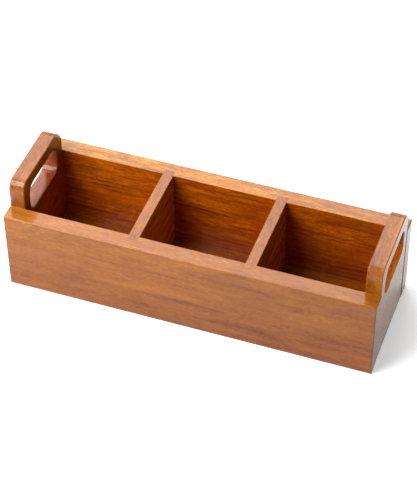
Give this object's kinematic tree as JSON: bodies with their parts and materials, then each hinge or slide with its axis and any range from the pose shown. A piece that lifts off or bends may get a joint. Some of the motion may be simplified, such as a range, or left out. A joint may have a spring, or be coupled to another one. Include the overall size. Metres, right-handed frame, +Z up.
{
  "type": "compartment caddy",
  "caption": "Open wooden tea bag caddy with equal compartments in a row and a raised end panel with a finger slot at each end.",
  "frame": {"origin": "middle of the underside, on the surface the box stands on", "axes": "+X along the box to the right as seen from the front, +Y to the back, +Z up"},
  "size_m": [0.3, 0.102, 0.096],
  "materials": {
    "oiled_teak": "oiled, satin, open grain",
    "beech_dowel": "turned, bare",
    "steel_brad": "bright drawn wire"
  },
  "bodies": {
    "root": {"front_board": "oiled_teak", "back_board": "oiled_teak", "left_end_panel": "oiled_teak", "right_end_panel": "oiled_teak", "left_divider": "oiled_teak", "right_divider": "oiled_teak", "base_panel": "oiled_teak", "panel_dowels": "beech_dowel", "base_brads": "steel_brad"}
  },
  "joints": []
}
